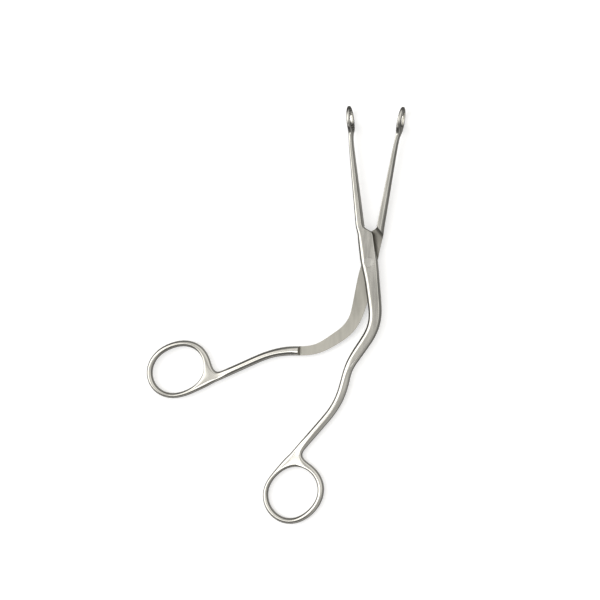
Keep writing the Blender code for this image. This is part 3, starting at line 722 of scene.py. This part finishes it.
def lap_recess(half, name):
    """Cutter that halves the joint's thickness between a half's two shoulders."""
    middle = JOINT_THICKNESS / 2
    at_lap = lap_outline(half, 0.0)
    outside = lap_outline(half, LAP_OVERRUN * LAP_END_LEAN)
    if half["layer"] > 0:
        return prism(name, outside, at_lap, middle - LAP_OVERRUN * middle, middle + LAP_GAP / 2)
    return prism(name, at_lap, outside, middle - LAP_GAP / 2, middle + LAP_OVERRUN * middle)


def serration_teeth(half, name):
    """Cutter with one square bar, set on edge, for each groove across the gripping face."""
    bars = bmesh.new()
    first = JAW_REACH - TIP_LENGTH + SERRATION_FOOT
    count = int((JAW_REACH - SERRATION_END - first) / SERRATION_PITCH)
    face = half["side"] * (GRIP_GAP / 2 - SERRATION_LIFT)
    for index in range(count + 1):
        place = Vector((face, first + index * SERRATION_PITCH, JOINT_THICKNESS / 2)) * UNIT
        size = Vector((SERRATION_DEPTH, SERRATION_WIDTH / 2, TIP_HEIGHT)) * UNIT * math.sqrt(2)
        on_edge = Matrix.Rotation(math.radians(45), 4, "Z")
        shape = Matrix.Translation(place) @ Matrix.Diagonal((size.x, size.y, size.z, 1.0)) @ on_edge
        bmesh.ops.create_cube(bars, size=1.0, matrix=shape)
    mesh = bpy.data.meshes.new(name)
    bars.to_mesh(mesh)
    bars.free()
    return bpy.data.objects.new(name, mesh)


def set_value(node, name, value):
    node.inputs[name].default_value = value


def feed(tree, socket, value):
    """Links an input to another node's output, or sets it to a plain value."""
    if isinstance(value, bpy.types.NodeSocket):
        tree.links.new(value, socket)
    else:
        socket.default_value = value


def calculate(tree, operation, *values):
    """One or two values put through an operation."""
    node = tree.nodes.new("ShaderNodeMath")
    node.operation = operation
    for socket, value in zip(node.inputs, values):
        feed(tree, socket, value)
    return node.outputs["Value"]


def part_along(tree, vector, axis):
    """A vector's part along an axis."""
    node = tree.nodes.new("ShaderNodeVectorMath")
    node.operation = "DOT_PRODUCT"
    tree.links.new(vector, node.inputs[0])
    node.inputs[1].default_value = axis
    return node.outputs["Value"]


def remap(tree, value, source, target=(0.0, 1.0), interpolation="LINEAR"):
    """A value carried from one range to another, and held inside it."""
    node = tree.nodes.new("ShaderNodeMapRange")
    node.interpolation_type = interpolation
    tree.links.new(value, node.inputs["Value"])
    for name, limit in zip(("From Min", "From Max", "To Min", "To Max"), source + target):
        set_value(node, name, limit)
    return node.outputs["Result"]


def mix(tree, share, first, second, kind="FLOAT"):
    """What lies between two values or two colours, at a share."""
    node = tree.nodes.new("ShaderNodeMix")
    node.data_type = kind
    for name, value in (("Factor", share), ("A", first), ("B", second)):
        feed(tree, node.inputs[name], value)
    return node.outputs["Result"]


def noise(tree, vector, scale, detail):
    node = tree.nodes.new("ShaderNodeTexNoise")
    tree.links.new(vector, node.inputs["Vector"])
    set_value(node, "Scale", scale)
    set_value(node, "Detail", detail)
    return node.outputs["Fac"]


def scale_by_curve(tree, colour, value, points):
    """Scales a colour by a curve over a value from 0 to 1; each point is a value and its tone."""
    fall = tree.nodes.new("ShaderNodeFloatCurve")
    curve = fall.mapping.curves[0]
    curve.points[0].location = points[0]
    curve.points[1].location = points[-1]
    for point in points[1:-1]:
        curve.points.new(*point)
    for point in curve.points:
        point.handle_type = "VECTOR"
    fall.mapping.update()
    tree.links.new(value, fall.inputs["Value"])
    scaled = tree.nodes.new("ShaderNodeVectorMath")
    scaled.operation = "SCALE"
    tree.links.new(colour, scaled.inputs[0])
    tree.links.new(fall.outputs["Value"], scaled.inputs["Scale"])
    return scaled.outputs["Vector"]


def grained_normal(tree, vector, strength):
    """The surface's normal, with its cut edges rounded and a fine grain."""
    edge = tree.nodes.new("ShaderNodeBevel")
    edge.samples = EDGE_SAMPLES
    set_value(edge, "Radius", EDGE_ROUNDING * UNIT)
    bump = tree.nodes.new("ShaderNodeBump")
    set_value(bump, "Strength", strength)
    set_value(bump, "Distance", GRAIN_DEPTH * UNIT)
    tree.links.new(noise(tree, vector, GRAIN_SCALE, GRAIN_DETAIL), bump.inputs["Height"])
    tree.links.new(edge.outputs["Normal"], bump.inputs["Normal"])
    return bump.outputs["Normal"]


def streaks(tree, vector, along):
    """Cloudy streaks between 0 and 1, strong on the jaws and the joint and faint on the arms."""
    fade = ((STREAKS_FROM - STREAKS_FADE) * UNIT, STREAKS_FROM * UNIT)
    strength = remap(tree, along, fade, (STREAKS_LEAST, 1.0))
    return mix(tree, strength, STREAK_MEAN, noise(tree, vector, STREAK_SCALE, STREAK_DETAIL))


def steel(name, finish, painted_tones):
    """Stainless steel, with painted light and shade: curves that scale its colour over a normal's part
    along the shade axis, over Y and over height.
    """
    material = bpy.data.materials.new(name)
    material.use_nodes = True
    tree = material.node_tree
    shader = tree.nodes["Principled BSDF"]
    set_value(shader, "Metallic", 1.0)
    set_value(shader, "Specular Tint", GLANCING_TINT)
    spot = tree.nodes.new("ShaderNodeTexCoord")
    place = tree.nodes.new("ShaderNodeSeparateXYZ")
    tree.links.new(spot.outputs["Object"], place.inputs["Vector"])

    stretch = tree.nodes.new("ShaderNodeMapping")
    set_value(stretch, "Scale", GRAIN_STRETCH)
    tree.links.new(spot.outputs["Object"], stretch.inputs["Vector"])
    grain = stretch.outputs["Vector"]
    tree.links.new(grained_normal(tree, grain, finish["grain"]), shader.inputs["Normal"])
    cloud = streaks(tree, grain, place.outputs["Y"])
    limits = (finish["roughness"] - finish["spread"], finish["roughness"] + finish["spread"])
    tree.links.new(remap(tree, cloud, STREAK_CONTRAST, limits), shader.inputs["Roughness"])

    dark, light = [(*[tone * part for part in finish["colour"]], 1.0) for tone in STREAK_TONES]
    colour = mix(tree, cloud, dark, light, "RGBA")
    # Painted light and shade: the colour is scaled by curves over the normal's tilt, over Y and over
    # height.
    shade_facing = calculate(tree, "ABSOLUTE", part_along(tree, spot.outputs["Normal"], PAINTED_SHADE_AXIS))
    along = remap(tree, place.outputs["Y"], (-JAW_REACH * UNIT, JAW_REACH * UNIT))
    height = remap(tree, place.outputs["Z"], (0.0, TIP_HEIGHT * UNIT))
    for value, curve in zip((shade_facing, along, height), painted_tones):
        colour = scale_by_curve(tree, colour, value, curve)
    tree.links.new(colour, shader.inputs["Base Color"])
    return material


def paint_corner_shadow(material, half):
    """Paints shadow on a lap face, darker towards the shoulder at its end."""
    tree = material.node_tree
    shader = tree.nodes["Principled BSDF"]
    colour = shader.inputs["Base Color"].links[0].from_socket
    slope = math.radians(CROTCH_SLOPE)
    crest = CROTCH_CORNER_Y + CROTCH_CORNER_X * math.tan(slope)
    shoulder = crest * math.cos(slope) + half["shoulder_gap"]
    turn = math.radians(CROTCH_SLOPE + OPEN_ANGLE / 2)
    to_shoulder = (half["side"] * math.sin(turn), math.cos(turn), 0.0)
    spot = tree.nodes.new("ShaderNodeTexCoord")
    along = part_along(tree, spot.outputs["Object"], to_shoulder)
    share = remap(tree, along, ((shoulder - CORNER_SHADOW_REACH) * UNIT, shoulder * UNIT))
    tree.links.new(scale_by_curve(tree, colour, share, PAINTED_CORNER_SHADOW), shader.inputs["Base Color"])


def cut(target, cutter, material):
    """Subtracts a cutter, whose material lines the cut."""
    bpy.context.scene.collection.objects.link(cutter)
    cutter.data.materials.append(material)
    cutter.parent = target
    modifier = target.modifiers.new(cutter.name, "BOOLEAN")
    modifier.operation = "DIFFERENCE"
    modifier.solver = "EXACT"
    modifier.material_mode = "TRANSFER"
    modifier.object = cutter
    return cutter


def finished(target, cutters):
    """Turns an object's modifiers into its mesh and removes the cutters."""
    bpy.context.view_layer.update()
    graph = bpy.context.evaluated_depsgraph_get()
    mesh = bpy.data.meshes.new_from_object(target.evaluated_get(graph))
    target.modifiers.clear()
    target.data = mesh
    mesh.transform(target.matrix_basis)
    target.matrix_basis = Matrix.Identity(4)
    mesh.shade_smooth()
    mesh.set_sharp_from_angle(angle=math.radians(SMOOTH_BELOW))
    for cutter in cutters:
        bpy.data.objects.remove(cutter)


def make_half(half, name, node, body, polished, ground):
    """One forged half, polished outside and ground where it is cut."""
    piece = bpy.data.objects.new(name, half_cage(half).mesh(name, JOINT_THICKNESS / 2))
    bpy.context.scene.collection.objects.link(piece)
    piece.data.materials.append(polished)
    piece.rotation_euler.z = -half["side"] * math.radians(OPEN_ANGLE) / 2
    subdivision = piece.modifiers.new("forged_form", "SUBSURF")
    subdivision.levels = FINE_LEVEL
    subdivision.render_levels = FINE_LEVEL
    cutters = [
        cut(piece, lap_recess(half, name + "_lap"), ground),
        cut(piece, turned_profile(name + "_bore", rivet_profile(RIVET_GAP, BORE_OVERRUN)), ground),
        cut(piece, serration_teeth(half, name + "_teeth"), ground),
    ]
    finished(piece, cutters)
    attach(piece, body)
    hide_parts(node)


def make_rivet(material):
    rivet = turned_profile("rivet_finish", rivet_profile(0.0, 0.0))
    bpy.context.scene.collection.objects.link(rivet)
    rivet.data.materials.append(material)
    rivet.rotation_euler.z = math.radians(OPEN_ANGLE) / 2
    finished(rivet, [])
    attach(rivet, "front")
    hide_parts("pivot_rivet")


def whiten(tree, strength):
    """Strength for rays from the camera, from gloss and through glass, and 0 for the others."""
    path = tree.nodes.new("ShaderNodeLightPath")
    either = calculate(tree, "MAXIMUM", path.outputs["Is Camera Ray"], path.outputs["Is Glossy Ray"])
    any_of = calculate(tree, "MAXIMUM", either, path.outputs["Is Transmission Ray"])
    return calculate(tree, "MULTIPLY", any_of, strength)


def make_floor():
    mesh = bpy.data.meshes.new("floor")
    corners = [(x * FLOOR_REACH, y * FLOOR_REACH, 0) for x, y in ((-1, -1), (1, -1), (1, 1), (-1, 1))]
    mesh.from_pydata(corners, [], [(0, 1, 2, 3)])
    floor = bpy.data.objects.new("floor", mesh)
    bpy.context.scene.collection.objects.link(floor)
    floor.location = (0.0, (JAW_REACH - TIP_LENGTH / 2) * UNIT, FLOOR_LEVEL * UNIT)
    floor.rotation_euler.x = -math.radians(FLOOR_RISE)
    material = bpy.data.materials.new("white_paper")
    material.use_nodes = True
    tree = material.node_tree
    shader = tree.nodes["Principled BSDF"]
    set_value(shader, "Base Color", (*[FLOOR_COLOUR] * 3, 1.0))
    set_value(shader, "Roughness", 1.0)
    set_value(shader, "Specular IOR Level", 0.0)
    set_value(shader, "Emission Color", (1.0, 1.0, 1.0, 1.0))
    tree.links.new(whiten(tree, FLOOR_LIFT), shader.inputs["Emission Strength"])
    mesh.materials.append(material)


def sky_patch(tree, direction, azimuth, elevation, near, far, amount):
    """A soft patch of the sky, whole up to the angle near from its middle and gone at the angle far."""
    turn = math.radians(azimuth)
    rise = math.radians(elevation)
    middle = (math.cos(turn) * math.cos(rise), math.sin(turn) * math.cos(rise), math.sin(rise))
    fade = (math.cos(math.radians(far)), math.cos(math.radians(near)))
    return remap(tree, part_along(tree, direction, middle), fade, (0.0, amount), "SMOOTHSTEP")


def make_sky():
    """A plain pale room with soft patches, brighter and darker, and white to the camera."""
    world = bpy.data.worlds.new("studio")
    bpy.context.scene.world = world
    world.use_nodes = True
    tree = world.node_tree
    direction = tree.nodes.new("ShaderNodeTexCoord").outputs["Generated"]
    level = SKY_LEVEL
    for patch in SKY_PATCHES:
        level = calculate(tree, "ADD", level, sky_patch(tree, direction, *patch))
    least = calculate(tree, "MAXIMUM", level, SKY_LEAST)
    path = tree.nodes.new("ShaderNodeLightPath")
    seen = mix(tree, path.outputs["Is Camera Ray"], least, 1.0)
    background = tree.nodes["Background"]
    tree.links.new(seen, background.inputs["Strength"])
    set_value(background, "Color", SKY_COLOUR)


def make_softbox():
    """A lamp near the lower ring that shines straight down."""
    data = bpy.data.lights.new("softbox", "AREA")
    data.shape = "RECTANGLE"
    data.size, data.size_y = SOFTBOX_SIZE
    data.energy = SOFTBOX_RADIANCE * data.size * data.size_y * math.pi
    softbox = bpy.data.objects.new("softbox", data)
    bpy.context.scene.collection.objects.link(softbox)
    softbox.location = SOFTBOX_PLACE


def make_camera():
    roll = math.radians(CAMERA_ROLL)
    turn = math.radians(CAMERA_TURN)
    up = Vector((-math.sin(turn), math.cos(turn), 0))
    level = Vector((math.cos(turn), math.sin(turn), 0))
    right = level * math.cos(roll) - Vector((0, 0, math.sin(roll)))
    back = level * math.sin(roll) + Vector((0, 0, math.cos(roll)))
    target = Vector((0, 0, JOINT_THICKNESS / 2)) + right * VIEW_CENTRE[0] + up * VIEW_CENTRE[1]
    data = bpy.data.cameras.new("camera")
    data.sensor_width = SENSOR
    data.lens = SENSOR * CAMERA_DISTANCE / (VIEW_WIDTH * UNIT)
    data.clip_end = CAMERA_DEPTH
    camera = bpy.data.objects.new("camera", data)
    bpy.context.scene.collection.objects.link(camera)
    place = target * UNIT + back * CAMERA_DISTANCE
    axes = Matrix((right, up, back)).transposed().to_4x4()
    camera.matrix_world = Matrix.Translation(place) @ axes
    bpy.context.scene.camera = camera


def main():
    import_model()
    # Satin steel with painted shade on its sloped edges and tips, and a painted highlight on the tips.
    satin = steel("satin_steel", SATIN_STEEL, (PAINTED_EDGE_SHADE, PAINTED_TIP_LIGHT_AND_SHADE, PAINTED_TIP_RIM_SHADE))
    rivet_steel = steel("rivet_steel", RIVET_STEEL, ())
    for half, name, lap_shade in ((FRONT, "front", PLAIN_TONES), (REAR, "rear", PAINTED_LAP_SHADE)):
        # Each ground steel gets painted shadow at its shoulder, and the rear's also painted shade around
        # the rivet.
        ground = steel(name + "_ground_steel_with_painted_shade", GROUND_STEEL, (PLAIN_TONES, lap_shade))
        paint_corner_shadow(ground, half)
        make_half(half, name + "_half_finish", name + "_half", name, satin, ground)
    make_rivet(rivet_steel)
    make_floor()
    make_sky()
    make_softbox()
    make_camera()
    bpy.context.scene.view_settings.view_transform = "Standard"


main()
